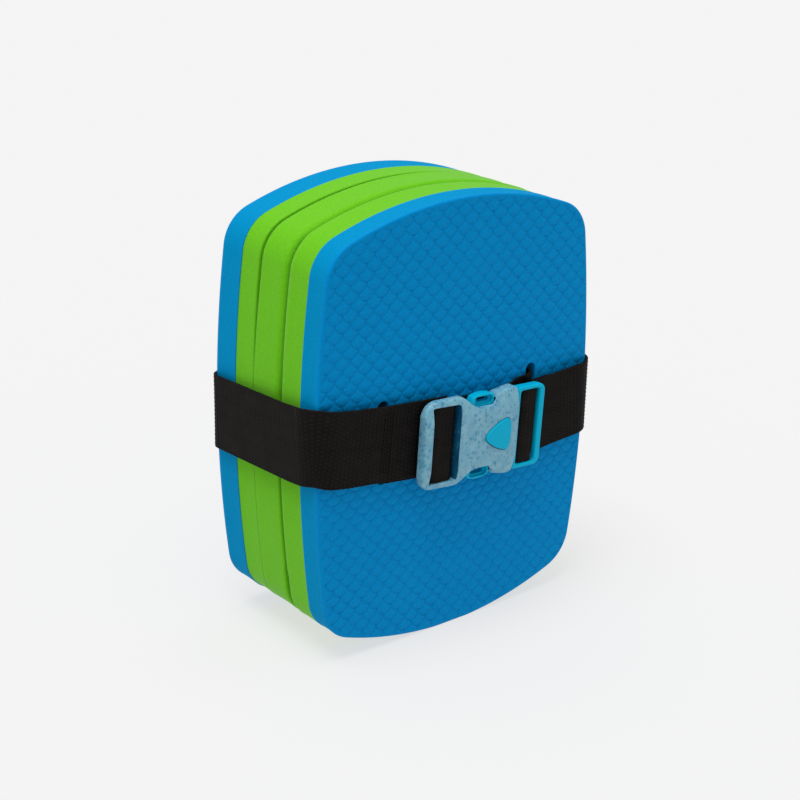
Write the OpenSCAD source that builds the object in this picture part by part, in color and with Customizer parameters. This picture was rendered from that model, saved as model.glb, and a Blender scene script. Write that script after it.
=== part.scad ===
// Layered back float: five foam pads threaded on one webbing belt, which wraps round the stack
// and closes over the front pad with a side-release buckle.
// X runs to the right, the embossed front face looks towards -Y and Z is up.
// The origin is on the floor, under the middle of the whole float.

/* [Pads] */
// Width of the pads at mid height
pad_w = 170; // [160:1:180]
// Height of the pads on the centre line
pad_h = 221; // [210:1:235]
// How far the sides of a pad bow outwards
side_bow = 7; // [5:0.5:9]
// How far the top and bottom of a pad bow outwards
end_bow = 17; // [14:0.5:20]
// Radius of the pad corners
corner_r = 21; // [16:1:25]
// Width of the flat that each pad stands on
foot_w = 20; // [12:1:26]
// Thickness of the blue pad at the back
rear_pad_t = 16.5; // [12:0.1:20]
// Thickness of the green pad next to the rear pad
green_rear_t = 14.5; // [12:0.1:20]
// Thickness of the green pad in the middle
green_middle_t = 21; // [15:0.1:25]
// Thickness of the green pad next to the front pad
green_front_t = 17.4; // [12:0.1:20]
// Thickness of the blue pad at the front
front_pad_t = 12.8; // [10:0.1:18]
// Air left between neighbouring pads
pad_gap = 0.2; // [0.1:0.1:0.5]

/* [Belt slots] */
// Distance from the centre line to the middle of a slot
slot_x = 46.5; // [45:0.5:50]
// Width of a slot
slot_w = 6; // [5.6:0.1:8]
// Height of a slot with its round ends
slot_h = 41.8; // [41.6:0.1:42.4]
// How far the slots sit below mid height
slot_drop = 1.6; // [1.4:0.1:1.8]

/* [Belt] */
// Width of the webbing
webbing_w = 38; // [36:1:38]
// Thickness of the webbing
webbing_t = 1.6; // [1.2:0.1:1.6]
// Air between the pads and the belt where it runs round the outside
belt_gap = 1.8; // [1.8:0.1:2.4]
// Inner radius of the belt at the four upright edges of the stack
belt_bend_r = 6; // [4:0.5:6]
// How far the belt sits below mid height at the back and over the front bridge
belt_drop = 3; // [0.6:0.1:3]
// How far the belt sits above mid height at the front left edge
left_rise = 5; // [0:0.5:6]
// How steeply the left front run falls just inside the edge, in degrees
left_edge_fall = 10; // [0:0.5:12]
// How steeply the left front run falls from there to the buckle, in degrees
left_fall = 4.5; // [3:0.5:8]
// How far the belt sits below mid height at the front right edge
right_drop = 4.5; // [3:0.5:6]
// How steeply the right front run falls towards the buckle, in degrees
right_fall = 4.5; // [2:0.5:5]

/* [Buckle] */
// Place of the buckle's centre to the right of the centre line
buckle_x = 8; // [6:0.5:10]
// Place of the buckle's centre below mid height
buckle_drop = 7; // [6:0.5:9]
// How far the right end of the buckle hangs down, in degrees
buckle_tilt = 3; // [0:0.5:5]
// Length of the socket from its belt end to its mouth
socket_l = 58.7; // [57:0.1:60]
// Height of the socket across its belt end
socket_h = 45; // [45:0.5:48]
// Length of the plug's frame outside the socket
frame_l = 18.1; // [17.5:0.1:20]

/* [Hidden] */
$fn = 96;

pad_blue = [0.0, 0.45, 0.73];
pad_green = [0.42, 0.76, 0.16];
webbing_black = [0.08, 0.07, 0.07];
thread_black = [0.14, 0.13, 0.13];
socket_clear = [0.66, 0.79, 0.85];
plug_teal = [0.0, 0.65, 0.80];

// Pad outline: bowed sides and ends are arcs, joined by tangent corner arcs.
half_w = pad_w / 2;
half_h = pad_h / 2;
corner_x = half_w - side_bow;
corner_z = half_h - end_bow;
side_r = (corner_z * corner_z + side_bow * side_bow) / (2 * side_bow);
end_r = (corner_x * corner_x + end_bow * end_bow) / (2 * end_bow);
side_centre_x = half_w - side_r;
end_centre_z = half_h - end_r;
foot_rise = end_r - sqrt(end_r * end_r - foot_w * foot_w / 4);
mid_z = half_h - foot_rise;

// The corner arc's centre is where two circles about the side's and the end's centres cross.
to_side = side_r - corner_r;
to_end = end_r - corner_r;
centre_gap = norm([side_centre_x, end_centre_z]);
along = (to_side * to_side - to_end * to_end + centre_gap * centre_gap) / (2 * centre_gap);
across = sqrt(to_side * to_side - along * along);
line = [-side_centre_x, end_centre_z] / centre_gap;
corner_c = [side_centre_x, 0] + along * line + across * [-line[1], line[0]];
side_touch = atan2(corner_c[1], corner_c[0] - side_centre_x);
end_touch = atan2(corner_c[1] - end_centre_z, corner_c[0]);

// Stack of pads, from back to front.
pad_ts = [rear_pad_t, green_rear_t, green_middle_t, green_front_t, front_pad_t];
function ts_before(i) = i == 0 ? 0 : pad_ts[i - 1] + pad_gap + ts_before(i - 1);
stack_t = ts_before(len(pad_ts)) - pad_gap;

// Depths in front of the front pad, where each layer starts.
skin = 0.2;
layer_gap = 0.1;
slide_gap = 0.3;
bridge_top = skin + webbing_t;
tail_d = bridge_top + layer_gap;
strap_d = tail_d + webbing_t + layer_gap;
strap_top = strap_d + webbing_t;
bars_d = strap_top + slide_gap;
loop_top = 10.5;
frame_front = 11;
socket_back = 2.2;
socket_front = 13.3;
inlay_front = 13.9;

// The float's box is centred on Y = 0: the buckle stands out in front, the belt at the back.
stack_y = (inlay_front - belt_gap - webbing_t) / 2;
front_y = stack_y - stack_t / 2;
back_y = stack_y + stack_t / 2;
slot_in = slot_x - slot_w / 2;
slot_out = slot_x + slot_w / 2;
slot_bend_r = (slot_w - webbing_t) / 2;
slot_bend_inset = slot_bend_r - skin;
belt_z = mid_z - belt_drop;
bend_x = half_w + belt_gap - belt_bend_r;
bend_inset = belt_bend_r - belt_gap;
left_z = mid_z + left_rise;
right_z = mid_z - right_drop;
lift_run = 24;
lift_x = bend_x - lift_run;
left_end_x = -12.5;
right_end_x = 30.5;
tail_run = 26;
bridge_left_x = -30;
bridge_left_drop = 1.5;
bridge_right_x = 33;
bridge_right_drop = 6;
sliver = 0.01;

// Buckle, in its own frame: X towards the plug, Z up, Y back into the float.
belt_end_x = -39;
mouth_x = belt_end_x + socket_l;
bar_w = 5;
socket_window_r = -17.7;
window_half = 19.3;
socket_corner_r = 8;
mouth_corner_r = 2.5;
waist_x = -2.7;
waist_r = 11.5;
waist_z = 28.5;
cavity_x = -13;
cavity_half = 19.2;
cavity_back = 4.2;
cavity_front = 11.4;
bar_back = 5.6;
bar_front = 8.6;
socket_bar_x = -30;
socket_bar_w = 6.6;
loop_left_x = -33;
loop_left_w = 14.8;
inlay_depth = 0.8;
inlay_fit = 0.1;
inlay_tip = [1, 0];
inlay_corner = [11.3, 5.6];
inlay_bow_r = 24;
inlay_round = 2;
shoulder_x = mouth_x + 0.2;
shoulder_w = 2.1;
plug_end_x = mouth_x + frame_l + 0.2;
plug_bar_w = 3.3;
frame_half = 21.4;
frame_corner_r = 4;
plug_bar_x = shoulder_x + shoulder_w + 3;
plug_mid_bar_w = 5.8;
loop_right_x = shoulder_x + shoulder_w + 0.6;
loop_right_w = 11.7;
tongue_half = 3;
tongue_tip_x = -10;
prong_back = 5.6;
prong_front = 10.2;
pivot_x = mouth_x - 0.5;
pivot_z = 14.9;
pivot_r = 1.4;
pivot_fit = 0.25;
catch_x = 4.1;
catch_z = 17.2;
prong_tip_x = -11;
prong_tip_z = 14;
prong_tip_t = 1.5;
pad_centre_x = -2;
pad_top_z = 22;
pad_r = 20;
pad_slope_x = 0;
eye_left_x = -5;
eye_right_x = 0.5;
eye_z = 18.8;
eye_r = 1.1;

// Points of the outline: a quarter is a side arc, a corner arc and an end arc.
function arc(centre, r, from, to, steps) =
  [for (i = [0 : steps - 1]) let (a = from + (to - from) * i / steps) centre + r * [cos(a), sin(a)]];
quarter_points = concat(
  arc([side_centre_x, 0], side_r, 0, side_touch, 6),
  arc(corner_c, corner_r, side_touch, end_touch, 12),
  arc([0, end_centre_z], end_r, end_touch, 90, 10)
);
last_point = len(quarter_points) - 1;
upper_points = concat(
  quarter_points,
  [[0, half_h]],
  [for (i = [last_point : -1 : 0]) [-quarter_points[i][0], quarter_points[i][1]]]
);
outline_points = concat(upper_points, [for (i = [1 : len(upper_points) - 2]) -upper_points[i]]);

module pad_outline() {
  intersection() {
    polygon(outline_points);
    translate([-half_w, -half_h + foot_rise]) square([pad_w, pad_h]);
  }
}

module belt_slots() {
  round_z = (slot_h - slot_w) / 2;
  for (side = [-1, 1])
    translate([side * slot_x, -slot_drop]) {
      square([slot_w, 2 * round_z], center = true);
      for (end = [-1, 1]) translate([0, end * round_z]) circle(d = slot_w);
    }
}

// Pad number i, counted from the back.
module pad(i) {
  translate([0, back_y - ts_before(i), mid_z]) rotate([90, 0, 0])
    linear_extrude(pad_ts[i]) difference() {
      pad_outline();
      belt_slots();
    }
}

module rear_pad() { color(pad_blue) pad(0); }
module green_rear_pad() { color(pad_green) pad(1); }
module green_middle_pad() { color(pad_green) pad(2); }
module green_front_pad() { color(pad_green) pad(3); }
module front_pad() { color(pad_blue) pad(4); }

// A level stretch of belt from its plan, with its middle at height z.
module level_belt(z) {
  translate([0, 0, z - webbing_w / 2]) linear_extrude(webbing_w) children();
}

// Quarter ring in plan, in the quadrant that starts at the given angle.
module quarter(inner, start) {
  rotate(start) intersection() {
    difference() {
      circle(r = inner + webbing_t);
      circle(r = inner);
    }
    square(inner + 2 * webbing_t);
  }
}

// Slack run between the slots over the front pad, pulled down on the plug's side.
module belt_bridge() {
  half = webbing_w / 2;
  middle = [
    [-slot_in, belt_z],
    [bridge_left_x, belt_z - bridge_left_drop],
    [bridge_right_x, belt_z - bridge_right_drop],
    [slot_in, belt_z]
  ];
  color(webbing_black) {
    translate([0, front_y - skin, 0]) rotate([90, 0, 0]) linear_extrude(webbing_t)
      polygon(concat(
        [for (i = [0 : 3]) middle[i] - [0, half]],
        [for (i = [3 : -1 : 0]) middle[i] + [0, half]]
      ));
    level_belt(belt_z) {
      translate([slot_in, front_y + slot_bend_inset]) quarter(slot_bend_r, -90);
      translate([-slot_in, front_y + slot_bend_inset]) quarter(slot_bend_r, 180);
    }
  }
}

// Run through the five pads, down the middle of a slot.
module slot_run() {
  level_belt(belt_z) translate([slot_x - webbing_t / 2, front_y + slot_bend_inset])
    square([webbing_t, stack_t - 2 * slot_bend_inset]);
}

module back_run() {
  level_belt(belt_z) {
    translate([slot_out, back_y - slot_bend_inset]) quarter(slot_bend_r, 90);
    polygon([
      [slot_out, back_y + skin],
      [bend_x, back_y + belt_gap],
      [bend_x, back_y + belt_gap + webbing_t],
      [slot_out, back_y + bridge_top]
    ]);
    translate([bend_x, back_y - bend_inset]) quarter(belt_bend_r, 0);
  }
}

// Run along one side; it climbs or falls from the back height to front_z.
module side_run(front_z) {
  y_back = back_y - bend_inset;
  y_front = front_y + bend_inset;
  half = webbing_w / 2;
  translate([half_w + belt_gap, 0, 0]) rotate([90, 0, 90]) linear_extrude(webbing_t)
    polygon([
      [y_back, belt_z - half],
      [y_back, belt_z + half],
      [y_front, front_z + half],
      [y_front, front_z - half]
    ]);
}

// A thin upright slice of the front run, which the runs are stretched between.
module slice(x, depth, z) {
  translate([x, front_y - depth - webbing_t, z - webbing_w / 2])
    cube([sliver, webbing_t, webbing_w]);
}

// Height of the front run's middle at x, beyond the stretch where it lifts off the pad.
function run_z(x, edge_z, edge_fall, fall) =
  edge_z - lift_run * tan(edge_fall) - (lift_x - x) * tan(fall);

// Front run from the bend at the edge to the buckle, drawn for the right-hand side.
module front_run(edge_z, end_x, edge_fall, fall) {
  level_belt(edge_z) translate([bend_x, front_y + bend_inset]) quarter(belt_bend_r, -90);
  hull() {
    slice(bend_x - sliver, belt_gap, edge_z);
    slice(lift_x, strap_d, run_z(lift_x, edge_z, edge_fall, fall));
  }
  hull() {
    slice(lift_x, strap_d, run_z(lift_x, edge_z, edge_fall, fall));
    slice(end_x, strap_d, run_z(end_x, edge_z, edge_fall, fall));
  }
}

// Loose end folded back behind the front run, drawn for the right-hand side.
module tail_run_flat(edge_z, end_x, edge_fall, fall) {
  z_near = run_z(end_x, edge_z, edge_fall, fall);
  z_far = run_z(end_x + tail_run, edge_z, edge_fall, fall);
  half = webbing_w / 2;
  translate([0, front_y - tail_d, 0]) rotate([90, 0, 0]) linear_extrude(webbing_t)
    polygon([
      [end_x, z_near - half],
      [end_x, z_near + half],
      [end_x + tail_run, z_far + half],
      [end_x + tail_run, z_far - half]
    ]);
}

module belt_slot_left() { color(webbing_black) mirror([1, 0, 0]) slot_run(); }
module belt_slot_right() { color(webbing_black) slot_run(); }
module belt_back_left() { color(webbing_black) mirror([1, 0, 0]) back_run(); }
module belt_back_right() { color(webbing_black) back_run(); }
module belt_side_left() { color(webbing_black) mirror([1, 0, 0]) side_run(left_z); }
module belt_side_right() { color(webbing_black) side_run(right_z); }
module belt_front_left() {
  color(webbing_black) mirror([1, 0, 0])
    front_run(left_z, -left_end_x, left_edge_fall, left_fall);
}
module belt_front_right() {
  color(webbing_black) front_run(right_z, right_end_x, right_fall, right_fall);
}
module belt_tail_left() {
  color(webbing_black) mirror([1, 0, 0])
    tail_run_flat(left_z, -left_end_x, left_edge_fall, left_fall);
}
module belt_tail_right() {
  color(webbing_black) tail_run_flat(right_z, right_end_x, right_fall, right_fall);
}

// Rows of thread across the front run, where the loop round the socket's bar is sewn down.
module bartack_left() {
  thread_d = 0.5;
  margin = 4;
  rows = 4;
  pitch = 1.6;
  tack_x = 49.8;
  tack_z = run_z(tack_x, left_z, left_edge_fall, left_fall);
  color(thread_black) for (row = [0 : rows - 1])
    translate([
      -tack_x + row * pitch,
      front_y - strap_top - thread_d,
      tack_z - webbing_w / 2 + margin
    ])
      cube([thread_d, thread_d, webbing_w - 2 * margin]);
}

// Folded end of the loose tail, which stops it slipping out of the plug's bars.
module belt_hem_right() {
  hem_l = 9;
  far_x = right_end_x + tail_run;
  far_z = run_z(far_x, right_z, right_fall, right_fall);
  near_z = far_z - hem_l * tan(right_fall);
  half = webbing_w / 2;
  color(webbing_black) translate([0, front_y - skin, 0]) rotate([90, 0, 0])
    linear_extrude(webbing_t) polygon([
      [far_x - hem_l, near_z - half],
      [far_x - hem_l, near_z + half],
      [far_x, far_z + half],
      [far_x, far_z - half]
    ]);
}

// Places its children in the buckle's own frame, on the front pad's face.
module on_buckle() {
  translate([buckle_x, front_y, mid_z - buckle_drop]) rotate([0, buckle_tilt, 0]) children();
}

// Gives a front-view outline its depth, from back to front ahead of the pad.
module plate(back, front) {
  rotate([90, 0, 0]) translate([0, 0, back]) linear_extrude(front - back) children();
}

module window(x0, x1) {
  translate([x0, -window_half]) square([x1 - x0, 2 * window_half]);
}

module socket_outline() {
  half = socket_h / 2;
  difference() {
    union() {
      translate([belt_end_x + socket_corner_r, -half])
        square([socket_l - socket_corner_r - mouth_corner_r, socket_h]);
      translate([belt_end_x, -half + socket_corner_r])
        square([socket_corner_r, socket_h - 2 * socket_corner_r]);
      translate([mouth_x - mouth_corner_r, -half + mouth_corner_r])
        square([mouth_corner_r, socket_h - 2 * mouth_corner_r]);
      for (side = [-1, 1]) {
        translate([belt_end_x + socket_corner_r, side * (half - socket_corner_r)])
          circle(r = socket_corner_r);
        translate([mouth_x - mouth_corner_r, side * (half - mouth_corner_r)])
          circle(r = mouth_corner_r);
      }
    }
    for (side = [-1, 1]) translate([waist_x, side * waist_z]) circle(r = waist_r);
    window(belt_end_x + bar_w, socket_window_r);
  }
}

// Circle whose edge bows outwards from p to q, which run clockwise round the shape.
module bowed_side(p, q) {
  chord = q - p;
  inward = [chord[1], -chord[0]] / norm(chord);
  reach = sqrt(inlay_bow_r * inlay_bow_r - chord * chord / 4);
  translate((p + q) / 2 + inward * reach) circle(r = inlay_bow_r);
}

// Rounded three-cornered shield that points away from the plug.
module inlay_outline(grow) {
  upper = inlay_corner;
  lower = [inlay_corner[0], -inlay_corner[1]];
  offset(r = inlay_round + grow) intersection() {
    bowed_side(inlay_tip, upper);
    bowed_side(upper, lower);
    bowed_side(lower, inlay_tip);
  }
}

module socket() {
  color(socket_clear) on_buckle() {
    difference() {
      plate(socket_back, socket_front) socket_outline();
      plate(cavity_back, cavity_front) translate([cavity_x, -cavity_half])
        square([mouth_x - cavity_x + 1, 2 * cavity_half]);
      plate(socket_back - 1, bars_d) translate([belt_end_x - 1, -socket_h / 2 - 1])
        square([socket_window_r - belt_end_x + 1, socket_h + 2]);
      plate(socket_front - inlay_depth, socket_front + 1) inlay_outline(inlay_fit);
    }
    plate(bar_back, bar_front) translate([socket_bar_x, -window_half - 1])
      square([socket_bar_w, 2 * window_half + 2]);
  }
}

module pick_inlay() {
  color(plug_teal) on_buckle()
    plate(socket_front - inlay_depth, inlay_front) inlay_outline(0);
}

module plug_outline() {
  difference() {
    union() {
      translate([shoulder_x, -frame_half])
        square([plug_end_x - shoulder_x - frame_corner_r, 2 * frame_half]);
      translate([shoulder_x, -frame_half + frame_corner_r])
        square([plug_end_x - shoulder_x, 2 * (frame_half - frame_corner_r)]);
      for (side = [-1, 1])
        translate([plug_end_x - frame_corner_r, side * (frame_half - frame_corner_r)])
          circle(r = frame_corner_r);
    }
    window(shoulder_x + shoulder_w, plug_end_x - plug_bar_w);
    for (side = [-1, 1])
      translate([pivot_x, side * pivot_z]) circle(r = pivot_r + pivot_fit);
  }
}

module plug_frame() {
  color(plug_teal) on_buckle() {
    plate(bars_d, frame_front) plug_outline();
    plate(bar_back, bar_front) translate([plug_bar_x, -window_half - 1])
      square([plug_mid_bar_w, 2 * window_half + 2]);
    plate(bar_back, prong_front) {
      translate([tongue_tip_x, -tongue_half])
        square([shoulder_x - tongue_tip_x + 1, 2 * tongue_half]);
      translate([tongue_tip_x, 0]) circle(r = tongue_half);
    }
  }
}

// Springy arm from its root at the plug's shoulder to its catch and its tip.
module prong_arm() {
  translate([pivot_x, pivot_z]) circle(r = pivot_r);
  polygon([
    [pivot_x, pivot_z - pivot_r],
    [pivot_x, pivot_z + pivot_r],
    [catch_x, catch_z],
    [prong_tip_x, prong_tip_z + prong_tip_t],
    [prong_tip_x, prong_tip_z],
    [catch_x, pivot_z - pivot_r]
  ]);
}

// Finger pad that stands out of the socket's waist, with a slot through it.
module finger_pad() {
  difference() {
    intersection() {
      translate([pad_centre_x, pad_top_z - pad_r]) circle(r = pad_r);
      polygon([
        [catch_x, prong_tip_z],
        [catch_x, pad_top_z + pad_r],
        [pad_slope_x, pad_top_z + pad_r],
        [prong_tip_x, prong_tip_z + prong_tip_t],
        [prong_tip_x, prong_tip_z]
      ]);
    }
    for (x = [eye_left_x, eye_right_x]) translate([x, eye_z]) circle(r = eye_r);
    translate([eye_left_x, eye_z - eye_r]) square([eye_right_x - eye_left_x, 2 * eye_r]);
  }
}

// One springy arm with its finger pad, drawn for the top.
module prong_outline() {
  prong_arm();
  finger_pad();
}

module prong() {
  color(plug_teal) on_buckle() plate(prong_back, prong_front) children();
}
module prong_top() { prong() prong_outline(); }
module prong_bottom() { prong() mirror([0, 1]) prong_outline(); }

// Belt turned over a bar of the buckle, from the run at its back up to loop_top.
module belt_loop(x, w, foot) {
  inner = 1.6;
  outer = inner + webbing_t;
  on_buckle() translate([0, 0, -webbing_w / 2]) linear_extrude(webbing_w) {
    for (leg = [x, x + w - webbing_t])
      translate([leg, outer - loop_top]) square([webbing_t, loop_top - outer - foot]);
    translate([x + outer, -loop_top]) square([w - 2 * outer, webbing_t]);
    translate([x + outer, outer - loop_top]) quarter(inner, 180);
    translate([x + w - outer, outer - loop_top]) quarter(inner, -90);
  }
}

module belt_loop_left() {
  color(webbing_black) belt_loop(loop_left_x, loop_left_w, strap_top + layer_gap);
}
module belt_loop_right() {
  color(webbing_black) belt_loop(loop_right_x, loop_right_w, bars_d);
}

rear_pad();
green_rear_pad();
green_middle_pad();
green_front_pad();
front_pad();
belt_bridge();
belt_slot_left();
belt_slot_right();
belt_back_left();
belt_back_right();
belt_side_left();
belt_side_right();
belt_front_left();
belt_front_right();
belt_loop_left();
belt_loop_right();
belt_tail_left();
belt_tail_right();
bartack_left();
belt_hem_right();
socket();
pick_inlay();
plug_frame();
prong_top();
prong_bottom();
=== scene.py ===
"""Layered back float: five foam pads threaded on one webbing belt with a side-release buckle.

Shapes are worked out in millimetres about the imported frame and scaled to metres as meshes.
Pads and buckle share one way of building: outlines in the front plane, given depth by rings.
"""

import math

import bmesh
import bpy
import numpy as np
from mathutils import Matrix, Vector, noise
from mathutils.geometry import delaunay_2d_cdt


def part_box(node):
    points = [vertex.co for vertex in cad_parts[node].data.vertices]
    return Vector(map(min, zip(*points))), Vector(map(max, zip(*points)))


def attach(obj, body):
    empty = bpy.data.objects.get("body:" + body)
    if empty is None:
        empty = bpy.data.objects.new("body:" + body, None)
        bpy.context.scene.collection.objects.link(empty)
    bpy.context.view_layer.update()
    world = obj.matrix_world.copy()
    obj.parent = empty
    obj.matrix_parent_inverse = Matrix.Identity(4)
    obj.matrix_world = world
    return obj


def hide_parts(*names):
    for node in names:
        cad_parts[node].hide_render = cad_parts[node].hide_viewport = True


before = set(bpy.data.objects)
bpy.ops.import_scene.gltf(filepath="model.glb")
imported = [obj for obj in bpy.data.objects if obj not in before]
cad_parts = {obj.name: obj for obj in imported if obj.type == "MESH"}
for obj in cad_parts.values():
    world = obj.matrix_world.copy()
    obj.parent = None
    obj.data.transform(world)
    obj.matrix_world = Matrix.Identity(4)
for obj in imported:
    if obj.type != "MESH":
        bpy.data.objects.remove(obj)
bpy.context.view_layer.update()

MM = 0.001
SHARP_ANGLE = 35

# ------ sizes from the frame


def box_mm(node):
    """Lowest and highest corner of a CAD node, in millimetres."""
    low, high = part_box(node)
    return np.array(low) / MM, np.array(high) / MM


FRONT_Y = box_mm("front_pad")[0][1]
BACK_Y = box_mm("rear_pad")[1][1]
HALF_W = box_mm("front_pad")[1][0]
HALF_H = 110.5
MID_Z = box_mm("front_pad")[1][2] - HALF_H

# Pad outline: how far its sides and ends bow out, and its corners' radius.
SIDE_BOW, END_BOW, CORNER_R = 7.0, 17.0, 21.0
# Belt slots in the pads: distance from the middle, width, height and drop below mid height.
SLOT_X, SLOT_W, SLOT_H, SLOT_DROP = 46.5, 6.0, 41.8, 1.6

WEB_W, WEB_T = 38.0, 1.6
BELT_DROP = 3.0

# The buckle's middle about the pads' middle, and how far its plug end leans down.
BUCKLE = np.array([8.0, -7.0])
BUCKLE_TILT = math.radians(3)
TILT_COS, TILT_SIN = math.cos(BUCKLE_TILT), math.sin(BUCKLE_TILT)
BUCKLE_UP = np.array([TILT_SIN, 0, TILT_COS])


# ------ outlines


def smooth(t):
    """0 below 0 and 1 above 1, with a soft rise between."""
    t = np.clip(t, 0, 1)
    return t * t * (3 - 2 * t)


def bearing(v):
    """The angle of a direction, in degrees."""
    return math.degrees(math.atan2(v[1], v[0]))


def wrapped(angle):
    """An angle brought between -180 and 180 degrees."""
    return (angle + 180) % 360 - 180


def to_left(v):
    """Unit vectors to the left of each direction."""
    return np.column_stack([-v[:, 1], v[:, 0]]) / np.linalg.norm(v, axis=1, keepdims=True)


def arc(centre, radius, start, end, step=3.0):
    """Points of an arc, angles in degrees, without its last point."""
    count = max(2, round(abs(end - start) / step))
    angles = np.radians(start + (end - start) * np.arange(count) / count)
    return np.column_stack([centre[0] + radius * np.cos(angles), centre[1] + radius * np.sin(angles)])


def distance_along(points):
    """How far along a line each of its points is."""
    return np.concatenate([[0], np.cumsum(np.linalg.norm(np.diff(points, axis=0), axis=1))])


def resample(points, step):
    """The closed outline again, with evenly spaced points."""
    closed = np.vstack([points, points[:1]])
    along = distance_along(closed)
    count = round(along[-1] / step)
    at = along[-1] * np.arange(count) / count
    return np.column_stack([np.interp(at, along, closed[:, k]) for k in (0, 1)])


def inward(loop):
    """Unit normals into the material: on the left of travel."""
    return to_left(np.roll(loop, -1, axis=0) - np.roll(loop, 1, axis=0))


def inside(points, loop):
    """Which points lie within a closed outline."""
    result = np.zeros(len(points), bool)
    x, z = points[:, 0], points[:, 1]
    for (ax, az), (bx, bz) in zip(loop, np.roll(loop, -1, axis=0)):
        if az != bz:
            crosses = (az > z) != (bz > z)
            result ^= crosses & (x < ax + (z - az) * (bx - ax) / (bz - az))
    return result


def filleted(corners, radii, closed=True, step=6.0):
    """A polygon or an open route with each corner rounded to its radius."""
    corners = np.array(corners, float)
    count = len(corners)
    result = []
    for i, (corner, radius) in enumerate(zip(corners, radii)):
        if radius <= 0 or (not closed and i in (0, count - 1)):
            result.append(corner[None])
            continue
        back = corners[i - 1] - corner
        ahead = corners[(i + 1) % count] - corner
        back /= np.linalg.norm(back)
        ahead /= np.linalg.norm(ahead)
        half = math.acos(np.clip(back @ ahead, -1, 1)) / 2
        middle = (back + ahead) / np.linalg.norm(back + ahead)
        centre = corner + middle * radius / math.sin(half)
        touch_in = corner + back * radius / math.tan(half) - centre
        touch_out = corner + ahead * radius / math.tan(half) - centre
        start = bearing(touch_in)
        turn = wrapped(bearing(touch_out) - start)
        result.append(arc(centre, radius, start, start + turn, step))
        result.append((centre + touch_out)[None])
    return np.vstack(result)


def pad_outline():
    """Bowed sides and ends joined by tangent corners, standing on a flat foot."""
    corner_x, corner_z = HALF_W - SIDE_BOW, HALF_H - END_BOW
    side_r = (corner_z**2 + SIDE_BOW**2) / (2 * SIDE_BOW)
    end_r = (corner_x**2 + END_BOW**2) / (2 * END_BOW)
    side_x, end_z = HALF_W - side_r, HALF_H - end_r
    to_side, to_end = side_r - CORNER_R, end_r - CORNER_R
    apart = math.hypot(side_x, end_z)
    along = (to_side**2 - to_end**2 + apart**2) / (2 * apart)
    across = math.sqrt(to_side**2 - along**2)
    line = np.array([-side_x, end_z]) / apart
    corner = np.array([side_x, 0]) + along * line + across * np.array([-line[1], line[0]])
    side_touch = bearing(corner - [side_x, 0])
    end_touch = bearing(corner - [0, end_z])
    quarter = np.vstack([
        arc((side_x, 0), side_r, 0, side_touch, 0.3),
        arc(corner, CORNER_R, side_touch, end_touch, 2),
        arc((0, end_z), end_r, end_touch, 90, 0.6),
    ])
    upper = np.vstack([quarter, [[0, HALF_H]], quarter[::-1] * [-1, 1]])
    loop = resample(np.vstack([upper, -upper[1:-1]]), 1.6)
    loop[:, 1] = np.maximum(loop[:, 1], -MID_Z)
    return loop


def slot_outline(side):
    """A belt slot in a pad, clockwise so that the foam is on the left of travel."""
    straight = (SLOT_H - SLOT_W) / 2
    centre = side * SLOT_X
    ends = np.vstack([
        arc((centre, straight - SLOT_DROP), SLOT_W / 2, 180, 0, 10),
        arc((centre, -straight - SLOT_DROP), SLOT_W / 2, 0, -180, 10),
    ])
    return resample(ends, 0.9)


# ------ shells from outlines


def rounded_rim(radius, steps=4, hold=0.15):
    """A rim with a round edge, and one more row on the face that keeps the edge crisp."""

    def rim(loop):
        r = at_each(radius, loop)
        return round_over(r, steps) + [(r + hold, 0 * r)]

    return rim


def at_each(value, points):
    """A depth or radius at each point, from one number or a function of the points."""
    return value(points) if callable(value) else np.full(len(points), float(value))


def round_over(r, steps, lift=0.0):
    """Rows of (inset, drop) from a wall round to a face."""
    turns = [math.radians(90 * k / steps) for k in range(steps + 1)]
    return [(r * (1 - math.cos(a)), lift + r * (1 - math.sin(a))) for a in turns]


def fill(rings, extra):
    """Triangles between an outer ring and the holes in it, as indices of rings then extra."""
    flat = np.vstack([*rings, extra])
    edges, start = [], 0
    for ring in rings:
        count = len(ring)
        edges += [(start + i, start + (i + 1) % count) for i in range(count)]
        start += count
    out, _, faces, origin, _, _ = delaunay_2d_cdt([Vector(p) for p in flat], edges, [], 0, 1e-5)
    first = [o[0] if o else None for o in origin]
    at = np.array([(p.x, p.y) for p in out])
    faces = np.array(faces)
    middle = at[faces].mean(axis=1)
    keep = inside(middle, rings[0])
    for hole in rings[1:]:
        keep &= ~inside(middle, hole)
    a, b, c = (at[faces[:, k]] for k in range(3))
    turn = (b - a)[:, 0] * (c - a)[:, 1] - (b - a)[:, 1] * (c - a)[:, 0]
    faces[turn < 0] = faces[turn < 0][:, ::-1]
    keep &= np.abs(turn) > 1e-9
    return [tuple(first[i] for i in f) for f in faces[keep] if all(first[i] is not None for i in f)]


def rim_rows(loop, face, rim, side):
    """Rows of points of a rim; side is -1 at the front face and 1 at the back."""
    rows = []
    for inset, drop in rim(loop):
        p = loop + inward(loop) * inset[:, None]
        rows.append(np.column_stack([p, at_each(face, p) + side * drop]))
    return rows


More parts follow.
